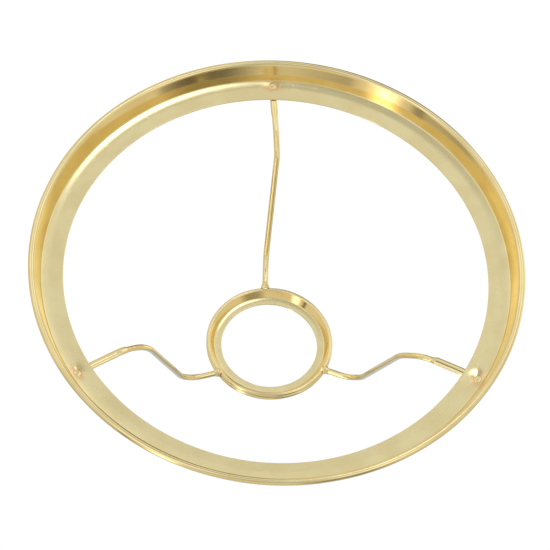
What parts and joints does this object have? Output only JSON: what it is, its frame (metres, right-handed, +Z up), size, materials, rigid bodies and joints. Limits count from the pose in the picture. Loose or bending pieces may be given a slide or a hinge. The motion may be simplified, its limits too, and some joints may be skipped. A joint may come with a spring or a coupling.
{
  "type": "lampshade ring holder",
  "caption": "Rigid brass-plated shade ring: a beaded rim with a flat inner flange, carried by bent wire arms on a small beaded hub collar.",
  "frame": {"origin": "on the ring's axis, at the underside of the hub collar's ledge, which is the lowest face of the part", "axes": "+Z up along the common axis of rim and hub, from hub to rim; +Y towards the rear arm; +X to the right of it seen from the front"},
  "size_m": [0.266, 0.266, 0.0836],
  "materials": {
    "rim_brass": "polished pale brass plating on rolled sheet steel",
    "hub_brass": "polished pale brass plating on sheet and wire",
    "wire_brass": "bright brass plating on drawn wire",
    "rivet_brass": "plated rivet heads with tool marks",
    "braze_fillet": "plated brazing fillet, slightly uneven"
  },
  "bodies": {
    "root": {"rim_ring": "rim_brass", "hub_collar": "hub_brass", "hub_hoop": "hub_brass", "arm_rear": "wire_brass", "arm_left": "wire_brass", "arm_right": "wire_brass", "rivet_rear": "rivet_brass", "rivet_left": "rivet_brass", "rivet_right": "rivet_brass", "braze_rear": "braze_fillet", "braze_left": "braze_fillet", "braze_right": "braze_fillet"}
  },
  "joints": []
}
